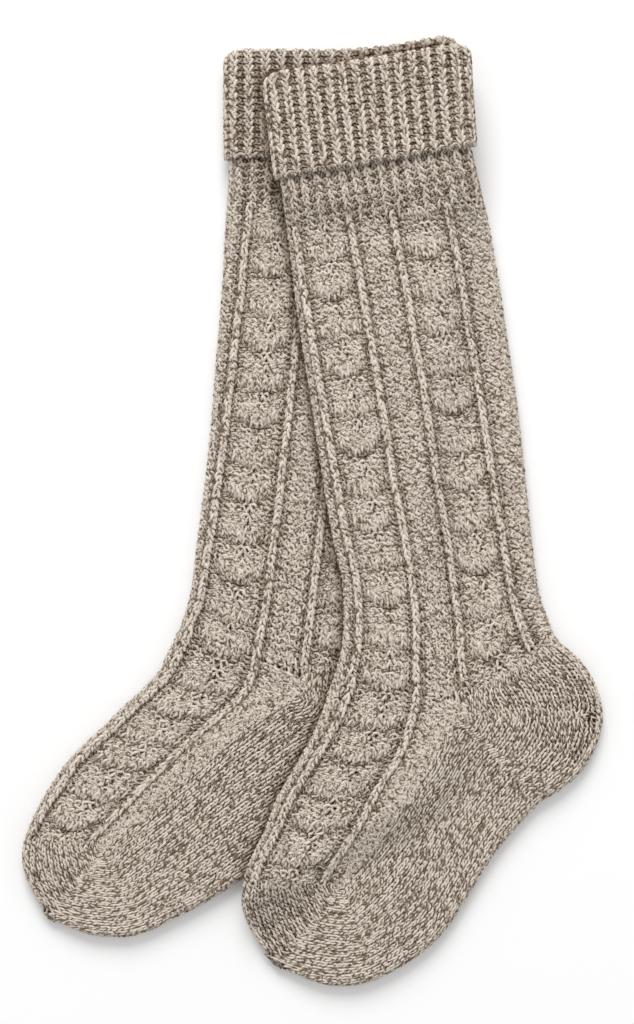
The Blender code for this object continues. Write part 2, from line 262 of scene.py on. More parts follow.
def rows_at(rows, place):
    """The lines at places between whole numbers, on a Catmull-Rom curve through all the rows.

    With the rows a, b, c, d around the place and the share t of the way from b to c, each line is
    half of 2b + (c - a)t + (2a - 5b + 4c - d)t^2 + (3b - a - 3c + d)t^3. Past both ends it goes on straight.
    """
    place = np.asarray(place, float)
    last = len(rows) - 1
    before = np.minimum(place, 0)[..., None, None] * (rows[1] - rows[0])
    beyond = np.maximum(place - last, 0)[..., None, None] * (rows[last] - rows[last - 1])
    place = np.clip(place, 0, last)
    whole = np.clip(np.floor(place).astype(int), 0, last - 1)
    t = (place - whole)[..., None, None]
    a, b, c, d = (rows[np.clip(whole + step, 0, last)] for step in (-1, 0, 1, 2))
    curve = 2 * b + (c - a) * t + (2 * a - 5 * b + 4 * c - d) * t**2 + (3 * b - a - 3 * c + d) * t**3
    return curve / 2 + before + beyond


def read_table(table):
    """One sock's lines as arrays, with the numbers of the rows where its parts start."""
    fold, hem = np.array(table["cuff"], float).reshape(2, 3, 2)
    parts = ("leg", "heel", "foot", "toe")
    rows = np.array([row for part in parts for row in table[part]], float).reshape(-1, 3, 2)
    heel, foot, toe = np.cumsum([len(table[part]) for part in parts])[:3]
    down = hem.mean(axis=0) - fold.mean(axis=0)
    length = float(np.linalg.norm(down))
    return SimpleNamespace(
        fold=fold, hem=hem, cuff_length=length, down=down / length,
        rows=rows, heel=heel, foot=foot, toe=toe, last=len(rows) - 1,
        ribs=np.array(table["ribs"]), instep_ribs=table["instep_ribs"],
    )


right, left = read_table(RIGHT), read_table(LEFT)
print("rows in the tables:", len(right.rows), len(left.rows))

# %% [markdown]
# ## One sock over the other
#
# The right sock rests on the left one, so it has to rise where the left one is under it. Its height is lifted
# by the thickness of what it crosses, with a soft slope back down to the table beside it. The distance to the
# left sock's outline decides how far down the slope a point is.

# %% The lift over the other sock
RIB_RISE = 1.0
CUFF_RIB_RISE = 1.2
REST_GAP = 0.3
HEM_CLEAR = 18.0  # below the left cuff's hem, the right sock stays at the cuff's height over this length
CLEAR = 4.0  # beside the left sock, the right one stays at full height over this length
RAMP = 28.0  # and then comes down to the table over this length
AT_ONCE = 20000  # points that are measured together


def outline_of(sock):
    """The outline on the plan: down the front points from the top fold to the toe, and up the back points."""
    lines = np.concatenate([[sock.fold, sock.hem], rows_at(sock.rows, np.arange(0, sock.last + 0.01, 0.5))])
    return np.concatenate([lines[:, 0], lines[::-1, 2]])


def depth_inside(plan, outline):
    """Distance to the nearest side of the outline: positive inside it and negative outside."""
    result = np.empty(len(plan))
    start, end = outline, np.roll(outline, -1, axis=0)
    along = end - start
    rise = np.where(np.abs(along[:, 1]) < 1e-9, 1e-9, along[:, 1])
    for first in range(0, len(plan), AT_ONCE):
        some = plan[first:first + AT_ONCE]
        to_point = some[:, None] - start
        share = np.clip((to_point * along).sum(2) / (along**2).sum(1), 0, 1)
        nearest = np.linalg.norm(to_point - share[..., None] * along, axis=2).min(axis=1)
        above = start[:, 1] > some[:, 1:2]
        crosses = above != (end[:, 1] > some[:, 1:2])
        at = start[:, 0] + (some[:, 1:2] - start[:, 1]) * along[:, 0] / rise
        inside = (crosses & (at > some[:, :1])).sum(axis=1) % 2 == 1
        result[first:first + AT_ONCE] = np.where(inside, nearest, -nearest)
    return result


def lift_over(sock):
    """The height of a cloth that crosses this sock: its thickness, eased to nothing beside it."""
    outline = outline_of(sock)
    hem_level = sock.hem[:, 1].min()
    on_leg = LEG_THICK + RIB_RISE + REST_GAP
    on_cuff = CUFF_THICK + CUFF_RIB_RISE + REST_GAP

    def lift(plan):
        beside = np.maximum(-depth_inside(plan, outline), 0)
        below_hem = ease((hem_level - HEM_CLEAR - plan[:, 1]) / SETTLE)
        height = on_cuff + (on_leg - on_cuff) * below_hem
        return height * ease(1 - (beside - CLEAR) / RAMP)

    return lift


left.lift = lambda plan: np.zeros(len(plan))
right.lift = lift_over(left)
right_outline = outline_of(right)
SHIFT = np.array([0.0, 0.3])
print("outline points of the right sock:", len(right_outline))

# %% [markdown]
# ## A place on the tube
#
# Every point of the knitting is given by its wale (the column of stitches, counted from the front edge), its
# row, and how far it stands out from the cloth. Near an edge the tube is round: the first two wales go up a
# quarter circle from the widest point, and wales below zero go down under it.

# %% Places on a flat tube
EDGE_WALES = 2.0
CUFF_EDGE_WALES = 3.0
CORNER = 5.0  # how far the ends of the top fold are rounded away, over a width and a length
CORNER_WIDTH = 11.0
CORNER_LENGTH = 30.0
SWELL = 0.35
PAST_TIP = 1.08  # how far past the toe's last line a place may go, as a share of the toe
WALK_STEPS = 900
MM = 0.001


def soft_ramp(distance):
    """0 before the start and the distance itself after it, with a round bend between them."""
    bend = (distance + BEND) ** 2 / (4 * BEND)
    return np.where(distance < -BEND, 0.0, np.where(distance > BEND, distance, bend))


def on_tube(line, wale, half, middle, out, edge=EDGE_WALES):
    """Plan and height on a flat tube with round edges, laid along a line that bends at the side.

    At an angle a up the round edge, the distance from the edge is half - (half + out)cos a, and the height is
    middle + (half + out)sin a. Past the edge the distance grows evenly with the wales.
    """
    front, side, back = line[..., 0, :], line[..., 1, :], line[..., 2, :]
    length = np.linalg.norm(side - front, axis=-1) + np.linalg.norm(back - side, axis=-1)
    from_back = wale > WALES / 2
    near = np.where(from_back, WALES - wale, wale)
    angle = np.pi / 2 * np.clip(near / edge, -1, 1)
    flat = np.maximum(np.abs(near) - edge, 0) / (WALES - 2 * edge) * (length - 2 * half)
    distance = half - (half + out) * np.cos(angle) + flat
    share = np.where(from_back, 1 - distance / length, distance / length)
    at_front = soft_ramp(SIDE - share) / SIDE
    at_back = soft_ramp(share - SIDE) / (1 - SIDE)
    at_side = 1 - at_front - at_back
    plan = at_front[..., None] * front + at_side[..., None] * side + at_back[..., None] * back
    return plan, middle + (half + out) * np.sin(angle), np.minimum(share, 1 - share) * length


def from_edge(edge_point, inner_point, wale, wide, half, middle, out):
    """Plan and height for wales counted from one round edge of the tube towards an inner line.

    wide gives the distance on the plan at each wale past the round edge.
    """
    inward = inner_point - edge_point
    inward = inward / np.linalg.norm(inward, axis=-1, keepdims=True)
    angle = np.pi / 2 * np.clip(wale / EDGE_WALES, -1, 1)
    distance = half - (half + out) * np.cos(angle) + wide
    return edge_point + inward * distance[..., None], middle + (half + out) * np.sin(angle)


def finish_place(sock, plan, height):
    """Adds the soft swell of the cloth and the lift over the other sock, and turns millimetres into metres.

    The swell is one wave across times one along, each about 110 to 140 mm long and bent by a longer one.
    """
    x, y = plan[..., 0], plan[..., 1]
    swell = np.sin(x / 17 + 1.3 * np.sin(y / 31)) * np.sin(y / 23 + 0.9 * np.sin(x / 27 + 2))
    level = np.clip(height / LEG_THICK, 0, 1)
    height = height + SWELL * level * (swell - 0.4) + sock.lift(plan.reshape(-1, 2)).reshape(x.shape)
    return np.concatenate([plan + SHIFT, height[..., None]], axis=-1) * MM


def leg_heights(sock, place):
    """Bottom and top of the laid tube at a place: settling below the cuff and thinning to the toe's tip."""
    settled = ease(sock.walked(place) / SETTLE)
    cuff_part = (WALL + LAYER_GAP) * (1 - settled)
    top = LEG_THICK + (CUFF_THICK - WALL - LAYER_GAP - LEG_THICK) * (1 - settled)
    to_tip = np.clip((place - sock.toe) / (sock.last - sock.toe), 0, PAST_TIP)
    thin = LEG_THICK / 2 * (1 - np.sqrt(1 - (TIP_ROUNDING * to_tip) ** 2))
    return cuff_part + thin, top - thin


def place_on_leg(sock, at, wale, out):
    """Places on the laid tube of the leg and foot, at places of the table."""
    bottom, top = leg_heights(sock, at)
    plan, height, _ = on_tube(rows_at(sock.rows, at), wale, (top - bottom) / 2, (top + bottom) / 2, out)
    return finish_place(sock, plan, height)


def place_on_cuff(sock, down, wale, out):
    """Places on the laid tube of the cuff, at distances down from the top fold, whose corners are rounded."""
    line = sock.fold + (sock.hem - sock.fold) * (down / sock.cuff_length)[..., None, None]
    half = CUFF_THICK / 2
    plan, height, inside = on_tube(line, wale, half, half, out, CUFF_EDGE_WALES)
    corner = np.clip(1 - inside / CORNER_WIDTH, 0, 1) ** 2
    plan = plan + (CORNER * ease(1 - down / CORNER_LENGTH) * corner)[..., None] * sock.down
    return finish_place(sock, plan, height)


def measure(points):
    """Distance walked along a row of points."""
    return np.append(0, np.cumsum(np.linalg.norm(np.diff(points, axis=0), axis=1)))


for sock in (left, right):
    sock.fine = np.linspace(0, sock.last, WALK_STEPS)
    sock.side_walk = measure(rows_at(sock.rows, sock.fine)[:, 1])
    sock.walked = lambda place, sock=sock: np.interp(place, sock.fine, sock.side_walk)
print(f"down the side of the right leg and foot: {right.side_walk[-1]:.0f} mm")

# %% [markdown]
# ## The zones of the knitting
#
# A sock is not one grid of stitches. The cuff, the leg and the instep have their rows straight across. The
# heel and the toe are short-row corners: rows get one stitch shorter each time and then longer again, which
# leaves a mitre line where the wales turn. Each zone below is a function from wale, row and outward distance
# to a place in space, so the same stitch can be laid in any of them.

# %% Zones of one sock
ROW = 2.85  # height of a row of the leg and foot in millimetres
CUFF_ROW = 3.8
UNDER_CUFF_ROWS = 8
ROW_STEPS = 300  # places at which the cloth is measured to lay its rows evenly
RIBS = (3, 12, 19, 28)
RIB_ROWS = 1.25  # height of the stitches of the raised ribs, in rows of the leg
SIDE_PITCH = 0.95  # of the wales beyond the outer ribs, in wales of an even tube
WALE = 3.5  # width of a wale in millimetres
UNDER_CUFF_STITCHES = 6  # tall ones, over the length of UNDER_CUFF_ROWS rows
HEEL_WALES = 20
HEEL_ROWS = 19
HEEL_EXTRA_ROWS = 2  # whole rows above the mitre, and below it
TOE_WALES = 16
TOE_TIP_WALES = 2.2
MITRE_END = 0.96  # how far the heel's shortest row is along the mitre, as a share of it
LEAST_WALES = 0.5  # past the round edge, in the shortest rows
MITRE_START = {"right": (82.0, -115.0), "left": (-8.0, -103.0)}


def even_places(sock, first, last, columns, row):
    """The number of rows between two places of the table, and each row's place, evenly along the cloth."""
    fine = np.linspace(first, last, ROW_STEPS)
    lines = rows_at(sock.rows, fine)
    walk = measure(np.mean([lines[:, column] for column in columns], axis=0))
    count = int(round(walk[-1] / row))
    steps = np.linspace(0, walk[-1], count + 1)
    table = np.interp(steps, walk, fine)
    slope = (table[1] - table[0], table[-1] - table[-2])

    def place_of(number):
        inner = np.interp(number, np.arange(count + 1), table)
        return inner + np.minimum(number, 0) * slope[0] + np.maximum(number - count, 0) * slope[1]

    return count, place_of


def all_round(row):
    """The wales of a row that goes right across the sock."""
    return 0.0, float(WALES)


def turned(sock, wale, place):
    """Where each wale of the leg lies on the tube: evenly between ribs, and SIDE_PITCH apart beyond them."""
    ribs = [np.interp(place, (0, sock.heel / 2, sock.heel), places) for places in sock.ribs.T]
    knit = [rib + 0.5 for rib in RIBS]
    lie = ribs[0] + SIDE_PITCH * (np.minimum(wale - knit[0], 0) + np.maximum(wale - knit[-1], 0))
    for first, last, start, end in zip(knit[:-1], knit[1:], ribs[:-1], ribs[1:]):
        lie = lie + (np.clip(wale, first, last) - first) * (end - start) / (last - first)
    return lie


def leg_zone(sock):
    count, place_of = even_places(sock, 0, sock.heel, (0, 1, 2), ROW)

    def place(wale, row, out):
        at = place_of(row)
        return place_on_leg(sock, at, turned(sock, wale, at), out)

    def wales(row):
        outer = turned(sock, np.array([RIBS[0], RIBS[-1]]) + 0.5, place_of(row))
        low, high = np.array([RIBS[0], RIBS[-1]]) + 0.5 + (np.array([0, WALES]) - outer) / SIDE_PITCH
        return float(low), float(high)

    return SimpleNamespace(rows=count, place=place, wales=wales, spare=(True, True), place_of=place_of)


def with_tall_rows(zone, rows):
    """The same place on the sock with taller rows, each as high as so many of the zone's own."""
    return SimpleNamespace(
        rows=int(zone.rows / rows), place=lambda wale, row, out: zone.place(wale, row * rows, out),
        wales=lambda row: zone.wales(row * rows), spare=zone.spare,
    )


def under_cuff_zone(sock, leg):
    """The single rib between the cuff and the panels, with taller stitches than the leg's."""
    rows = UNDER_CUFF_ROWS / UNDER_CUFF_STITCHES

    def place(wale, row, out):
        return place_on_leg(sock, leg.place_of(row * rows), wale, out)

    return SimpleNamespace(rows=UNDER_CUFF_STITCHES, place=place, wales=all_round, spare=(True, True))


def cuff_path(sock, up, out):
    """Distance down from the top fold, and outward distance, at a length up the cloth from the hem.

    Below 0 the cloth goes round the hem's half circle, and past the flat part round the fold's.
    """
    flat = sock.cuff_length - FOLD_RADIUS - HEM_RADIUS
    hem_angle = np.maximum(-up, 0) / HEM_RADIUS
    fold_angle = np.maximum(up - flat, 0) / FOLD_RADIUS
    down = sock.cuff_length - HEM_RADIUS - np.clip(up, 0, flat)
    down = down + (HEM_RADIUS + out) * np.sin(hem_angle) - (FOLD_RADIUS + out) * np.sin(fold_angle)
    lost = HEM_RADIUS - (HEM_RADIUS + out) * np.cos(hem_angle)
    lost = np.where(up < 0, lost, FOLD_RADIUS - (FOLD_RADIUS + out) * np.cos(fold_angle))
    return down, -lost


def cuff_zone(sock):
    flat = sock.cuff_length - FOLD_RADIUS - HEM_RADIUS
    count = int(round(flat / CUFF_ROW))
    row = flat / count

    def place(wale, at, out):
        down, outward = cuff_path(sock, at * row, out)
        return place_on_cuff(sock, down, wale, outward)

    return SimpleNamespace(rows=count, place=place, wales=all_round, spare=(True, True))


def corner_zone(sock, count, place_of, edge, inner_of, wales_of, spare=False):
    """A zone whose wales are counted from one round edge (0 front, 2 back) to an inner line of the sock.

    spare says whether a spare stitch goes on past the inner line, under the next zone.
    """

    def place(wale, row, out):
        at = place_of(row)
        bottom, top = leg_heights(sock, at)
        half = (top - bottom) / 2
        edge_point = rows_at(sock.rows, at)[..., edge, :]
        inner = inner_of(row, at)
        flat = np.linalg.norm(inner - edge_point, axis=-1) - half
        pitch = flat / np.maximum(wales_of(row) - EDGE_WALES, LEAST_WALES)
        wide = np.maximum(wale - EDGE_WALES, 0) * pitch
        plan, height = from_edge(edge_point, inner, wale, wide, half, (top + bottom) / 2, out)
        return finish_place(sock, plan, height)

    def wales(row):
        return 0.0, float(wales_of(row))

    return SimpleNamespace(rows=count, place=place, wales=wales, spare=(True, spare))


def heel_zones(sock, start):
    """The two halves of the short-row heel, on either side of the mitre.

    The upper half starts with a few whole rows down to the mitre's start. Then every row ends one stitch
    sooner, on the mitre. The lower half's rows grow again by as much, and it ends with a few whole rows.
    """
    turn = sock.heel + HEEL_TURN
    start, end = np.array(start), sock.rows[turn, 2]
    rows = HEEL_ROWS + HEEL_EXTRA_ROWS

    def half(corner, row_from_corner):
        whole = np.clip(row_from_corner / HEEL_EXTRA_ROWS, 0, 1)[..., None]
        short = np.clip((row_from_corner - HEEL_EXTRA_ROWS) / HEEL_ROWS, 0, MITRE_END)[..., None]
        return corner + whole * (start - corner) + short * (end - start)

    upper = corner_zone(
        sock, rows, lambda row: sock.heel + HEEL_TURN * row / rows, 2,
        lambda row, at: half(sock.rows[sock.heel, 1], row),
        lambda row: HEEL_WALES * np.clip((rows - row) / HEEL_ROWS, 0, 1),
    )
    lower = corner_zone(
        sock, rows, lambda row: turn + (sock.foot - turn) * row / rows, 2,
        lambda row, at: half(sock.rows[sock.foot, 1], rows - row),
        lambda row: HEEL_WALES * np.clip(row / HEEL_ROWS, 0, 1),
    )
    return upper, lower


def side_point(sock):
    return lambda row, at: rows_at(sock.rows, at)[..., 1, :]


def sole_zone(sock):
    count, place_of = even_places(sock, sock.foot, sock.toe, (1, 2), ROW)

    def wales_of(row):
        return HEEL_WALES + 0 * row

    return corner_zone(sock, count, place_of, 2, side_point(sock), wales_of, spare=True)


def toe_zones(sock):
    """The two halves of the short-row toe, on either side of the mitre."""
    both = []
    for edge, wales in ((0, TOE_WALES), (2, HEEL_WALES)):
        count, place_of = even_places(sock, sock.toe, sock.last, (edge, 1), ROW)

        def wales_of(row, count=count, wales=wales):
            return TOE_TIP_WALES + (wales - TOE_TIP_WALES) * np.clip(1 - row / count, 0, 1)

        both.append(corner_zone(sock, count, place_of, edge, side_point(sock), wales_of))
    return both


INSTEP_WALES = (19.5, 16.0)  # across the instep, at the ankle and at the toe
RIB_WALES = (3.5, 12.5)  # the middles of the instep's two ribs
INSTEP_TURN = 12  # rows over which the instep's ribs swing out from where they lie on the leg


def instep_zone(sock):
    """From the front edge to the side of the foot, with a strip of moss stitch that narrows towards the toe.

    The table gives the distances of its two ribs from the front edge, as shares of the way to the side.
    """
    count, place_of = even_places(sock, sock.heel, sock.toe, (0, 1), ROW)

    def between(pair, row):
        return pair[0] + (pair[1] - pair[0]) * np.clip(row / count, 0, 1)

    def rib_shares(row):
        swing = ease(row / INSTEP_TURN)
        return [start + (between(later, row) - start) * swing for start, *later in sock.instep_ribs]

    def shape(row):
        """The line of a row, its tube's bottom and top, its length, and its ribs' distances."""
        lines = rows_at(sock.rows, place_of(row))
        length = np.linalg.norm(lines[..., 1, :] - lines[..., 0, :], axis=-1)
        return lines, leg_heights(sock, place_of(row)), length, [length * share for share in rib_shares(row)]

    def place(wale, row, out):
        lines, (bottom, top), length, (first, second) = shape(row)
        half = (top - bottom) / 2
        from_rib = wale - RIB_WALES[0]
        edge_wale = EDGE_WALES + (first - half) / WALE + SIDE_PITCH * from_rib
        wide = np.where(from_rib < 0, np.maximum(edge_wale - EDGE_WALES, 0) * WALE, first - half)
        wide = wide + (second - first) * np.clip(from_rib / (RIB_WALES[1] - RIB_WALES[0]), 0, 1)
        rest = between(INSTEP_WALES, row) - RIB_WALES[1]
        wide = wide + (length - second) * np.maximum(wale - RIB_WALES[1], 0) / rest
        edge, inner = lines[..., 0, :], lines[..., 1, :]
        plan, height = from_edge(edge, inner, edge_wale, wide, half, (top + bottom) / 2, out)
        return finish_place(sock, plan, height)

    def wales(row):
        _, (bottom, top), _, (first, _) = shape(row)
        low = RIB_WALES[0] - (EDGE_WALES + (first - (top - bottom) / 2) / WALE) / SIDE_PITCH
        return float(low), float(between(INSTEP_WALES, row))

    return SimpleNamespace(rows=count, place=place, wales=wales, spare=(True, True))


def zones_of(sock, side):
    upper, lower = heel_zones(sock, MITRE_START[side])
    toe_top, toe_sole = toe_zones(sock)
    leg, instep = leg_zone(sock), instep_zone(sock)
    return {
        "cuff": cuff_zone(sock),
        "under_cuff": under_cuff_zone(sock, leg),
        "leg": leg,
        "instep": instep,
        "leg_ribs": with_tall_rows(leg, RIB_ROWS),
        "instep_ribs": with_tall_rows(instep, RIB_ROWS),
        "heel_upper": upper,
        "heel_lower": lower,
        "sole": sole_zone(sock),
        "toe_top": toe_top,
        "toe_sole": toe_sole,
    }


right.zones, left.zones = zones_of(right, "right"), zones_of(left, "left")
print("rows in each zone:", {name: zone.rows for name, zone in right.zones.items()})

# %% [markdown]
# ## The charts
#
# A knitter works from a chart that says for each stitch whether it is knit, with its two legs in front, or
# purl, with its round head in front. Here a chart gives +1 or -1 for that, how far the stitch is raised above
# the ground in millimetres, and how tall its loop is. The leaves' spines have slipped stitches: on every
# second row the stitch isn't knitted but drawn up over two rows, with the yarn passing behind it, so its legs
# are long. The raised ribs have taller stitches than the rows beside them, so each is a chain of loops of its
# own, and the leg's rows pass behind it.

# %% Charts
MOSS_STAND = 0.4  # how far the purl heads stand out and the knit stitches lie back
MOTIF_ROWS = 15  # of one leaf with its two scallops
SCALLOPS = ((6.5, 3.2, 1.3), (14.0, 1.0, 0.8))  # row, how far the ends turn up in rows, depth of the groove
LEAF_STARTS = (4, 20)
LEAF_SHIFTS = (0, 5)  # rows by which each panel's leaves are ahead
RIB_STAND = 1.3
SPINE_STAND = 0.5
BESIDE_RIB_SINK = 0.7
SLIPPED_REACH = 1.4
BEHIND = (0.0, -1.2, 0.4)  # the chart's values where the yarn passes behind a slipped stitch or a rib
CUFF_REACH = 0.85
CUFF_RIB = (0.9, 1.9)  # how far the knit wales of a single rib stand out, and how far its purl wales sink
UNDER_CUFF_RIB = (0.5, 1.1)
HEM_RIB = (0.6, 0.2)


def moss(wale, row):
    """Knit and purl like a chequered board, with the purl heads a little raised."""
    knit = (wale + row) % 2 == 0
    return np.where(knit, 1.0, -1.0), np.where(knit, -MOSS_STAND, MOSS_STAND), np.ones(wale.shape)


def stockinette(wale, row):
    return np.ones(wale.shape), np.zeros(wale.shape), np.ones(wale.shape)


def single_rib(stand, groove):
    """Knit wales that stand high with sunk purl wales between them."""

    def chart(wale, row):
        knit = wale % 2 == 0
        return np.where(knit, 1.0, -0.3), np.where(knit, stand, -groove), np.where(knit, CUFF_REACH, 1.0)

    return chart


def slip(here, row, stand, chart):
    """The chart with slipped stitches, standing out by stand, wherever here is true."""
    front = here & (row % 2 == 0)
    behind = here & (row % 2 == 1)
    return [
        np.where(front, slipped, np.where(behind, back, value))
        for slipped, back, value in zip((1.0, stand, SLIPPED_REACH), BEHIND, chart)
    ]


def bell(distance, width):
    return np.exp(-((distance / width) ** 2))


def leaf(column, row):
    """Eight wales of leaves: scallops of knit stitches, a groove below each, and purl bellies that puff out.

    With u across the panel from -1 to 1, a scallop's line is where row + turn-up times u^2 is its own row,
    and d is the distance past that line in rows. Knit stitches fill d from -2.3 to 0.2, the groove is a bell
    round d = 0.7, and the belly is 1 - u^2 wide and highest at d = 3.8. A spine of slipped stitches parts it.
    """
    u = (column - 3.5) / 3.5
    sign, rise = -np.ones(column.shape), np.zeros(column.shape)
    spine = np.zeros(column.shape, bool)
    for start, turn_up, depth in SCALLOPS:
        past = (row + turn_up * u**2 - start + MOTIF_ROWS / 2) % MOTIF_ROWS - MOTIF_ROWS / 2
        sign = np.where((past > -2.3) & (past < 0.2), 1.0, sign)
        rise = rise + depth * (0.4 * bell(past + 1, 1) - 0.9 * bell(past - 0.7, 0.8))
        rise = rise + 0.5 * np.clip(1 - u**2, 0, 1) * bell(past - 3.8, 2)
        spine = spine | ((column == 4) & (past > 1) & (past < 5))
    return slip(spine, row, SPINE_STAND, (sign, rise, np.ones(column.shape)))


def panels(wale, row):
    """Across the leg: moss, leaf, moss, leaf and moss, and between them the wales that go behind a rib."""
    chart = moss(wale, row)
    for start, shift in zip(LEAF_STARTS, LEAF_SHIFTS):
        here = (wale >= start) & (wale < start + 8)
        chart = [np.where(here, new, old) for new, old in zip(leaf(wale - start, row + shift), chart)]
    sign, rise, reach = chart
    beside = np.isin(wale + 1, RIBS) | np.isin(wale - 1, RIBS)
    ground = (sign, np.where(beside, -BESIDE_RIB_SINK, rise), reach)
    return [np.where(np.isin(wale, RIBS), behind, value) for behind, value in zip(BEHIND, ground)]


def raised_rib(wale, row):
    """Knit stitches that stand high on the ribs, with their feet drawn far back between their neighbours."""
    return [np.where(np.isin(wale, RIBS), rib, behind) for rib, behind in zip((1.0, RIB_STAND, 1.0), BEHIND)]


def instep_chart(rows_before):
    """The panels going on down the instep, where the moss stitch takes the place of the third rib."""
    return lambda wale, row: panels(np.where(wale > RIBS[2] - 2, wale - 4, wale), row + rows_before)


print("stitches across the leg, knit (+) or purl (-):")
print("".join("+" if sign > 0 else "-" for sign in panels(np.arange(WALES), np.zeros(WALES, int))[0]))

# %% [markdown]
# ## One row of yarn
#
# A row of knitting is one yarn that goes through every stitch of the row as a wave of loops. Its path has a
# simple formula. Sideways it goes on evenly, with a swing of twice the loop's turn that grows with the loop's
# height, so the loop is wide at its head and narrow at its neck. Along the wale it is a cosine. In depth it
# is a power of a cosine of twice the turn, which brings the legs of a knit stitch to the front and its head
# and foot to the back, and a tilt lays each head behind the next row's feet. The tube round the path has five
# sides and eight steps to a stitch.

# %% Loops of yarn
SIDES = 5
STEPS = 8
LOOP_HEIGHT = {1: 0.98, -1: 0.75}  # of a knit and of a purl stitch, in rows
LOOP_DEPTH = {1: 1.3, -1: 0.4}  # in millimetres
LOOP_FLATNESS = 1.6
KNIT_TILT = 0.4  # millimetres that the head of a knit stitch lies back and its foot comes forward
PURL_SLANT = 0.24  # rows that the bumps of purl stitches lean
PURL_FOOT = 0.15  # millimetres that their feet lie behind their heads
SOFT_BORDER = 0.25  # wales from a stitch's middle to where it starts to take its neighbour's depth
# painted contact shadow: the left sock's yarn is darkened beside and under the right sock's edge
CONTACT = 8.0  # the left sock darkens over this width beside the right one
CONTACT_SHADE = 0.9
FULLNESS = 0.3  # how much thicker the yarn is for each millimetre that it stands out
# painted shade: between these depths the yarn's colour is darkened by how deep it lies among the stitches
SUNK_FROM = 0.35  # depths in millimetres between which the wool turns from lit to dark
SUNK_TO = 1.7
JITTER = 0.04
WANDER = 0.04  # wales that each column strays to either side
SEEDS = 4096  # different stitches
random = np.random.default_rng(11)
# painted contact shadow: only the left sock takes it, growing towards the right sock's outline
right.contact = lambda plan: np.zeros(len(plan))
left.contact = lambda plan: np.clip(1 + depth_inside(plan, right_outline) / CONTACT, 0, 1) ** 2


def stitch_runs(zone, first_row, last_row, wraps, hidden, only=None):
    """The stitches of each row as runs (row, first wale, wale after the last), without the hidden ones.

    Where only some wales are asked for, each of them is a run of its own.
    """
    runs = []
    for row in range(first_row, last_row):
        low, high = zone.wales(row + 0.5)
        start = int(np.floor(low)) - wraps[0]
        stop = int(round(high)) + wraps[1] if zone.spare[1] else int(np.ceil(high))
        wales = np.arange(start, stop)
        if len(wales) == 0:
            continue
        shown = np.ones(len(wales), bool) if only is None else np.isin(wales, only)
        if hidden is not None:
            centre = zone.place(wales + 0.5, np.full(len(wales), row + 0.5), np.zeros(len(wales)))
            shown = shown & ~hidden(centre)
        bounds = np.flatnonzero(np.diff(np.concatenate([[False], shown, [False]]).astype(int)))
        runs += [(row, int(wales[a]), int(wales[b - 1]) + 1) for a, b in zip(bounds[::2], bounds[1::2])]
    return runs


def blend_stitches(chart, wale, row, part, spread):
    """A chart's values along the yarn, mixed with the next stitch's values near the border between them."""
    border = 0.5 * ease((np.abs(part) - spread) / (0.5 - spread))
    soft = 0.5 * ease(np.abs(part) / 0.5)
    here, near = chart(wale, row), chart(wale + np.sign(part).astype(int), row)
    return [mine + (next_one - mine) * mix for mine, next_one, mix in zip(here, near, (border, soft, border))]


def yarn_path(sock, zone, chart, runs, yarn):
    """Points along all the runs: their places, outward directions, depths, radii, run numbers and painted
    contact shadow.

    With a as the turn, a knit stitch is in front by its legs and goes back by the loop's depth times
    ((1 + cos 2a) / 2)^1.6. It is tilted by cos a, so that each head goes behind the next stitch's feet. A
    purl stitch is in front by its head, leans by sin 2a, and its foot lies back by (1 - cos a) / 2.
    """
    t = np.concatenate([np.arange((b - a) * STEPS + 1) / STEPS + a for _, a, b in runs])
    row = np.concatenate([np.full((b - a) * STEPS + 1, r) for r, a, b in runs])
    run = np.concatenate([np.full((b - a) * STEPS + 1, n) for n, (_, a, b) in enumerate(runs)])
    last_wale = np.array([b - 1 for _, _, b in runs])[run]
    wale = np.minimum(np.floor(t).astype(int), last_wale)
    part = t - wale - 0.5
    turn = 2 * np.pi * part
    sign, rise, reach = blend_stitches(chart, wale, row, part, SOFT_BORDER)
    purl = np.clip(0.5 - 0.5 * sign, 0, 1)
    seed = (wale * 7919 + row * 104729) % SEEDS
    wobble = random.uniform(-JITTER, JITTER, (3, SEEDS))
    swing = yarn.swing * reach * np.sin(2 * turn)
    across = wale + 0.5 + part + swing + wobble[0][seed] * np.cos(turn / 2) ** 2
    across = across + WANDER * np.sin(0.5 * row + 2 * np.sin(1.3 * wale))
    tall, deep = (pair[-1] + (pair[1] - pair[-1]) * (0.5 + 0.5 * sign) for pair in (LOOP_HEIGHT, LOOP_DEPTH))
    along = row + 0.5 + tall * reach * np.cos(turn) * (1 + wobble[1][seed])
    along = along + purl * PURL_SLANT * np.sin(2 * turn)
    thick = yarn.radius * (1 + FULLNESS * np.clip(rise, 0, 1))
    depth = rise - thick - deep * (0.5 + 0.5 * sign * np.cos(2 * turn)) ** LOOP_FLATNESS
    depth = depth - (1 - purl) * KNIT_TILT * np.cos(turn) - purl * PURL_FOOT * (0.5 - 0.5 * np.cos(turn))
    here = zone.place(across, along, depth)
    outside = zone.place(across, along, depth + 0.2)
    outward = outside - here
    outward /= np.linalg.norm(outward, axis=1, keepdims=True)
    return {
        "place": here, "outward": outward, "depth": depth, "thick": thick, "run": run,
        "contact": sock.contact(here[:, :2] / MM - SHIFT),
    }


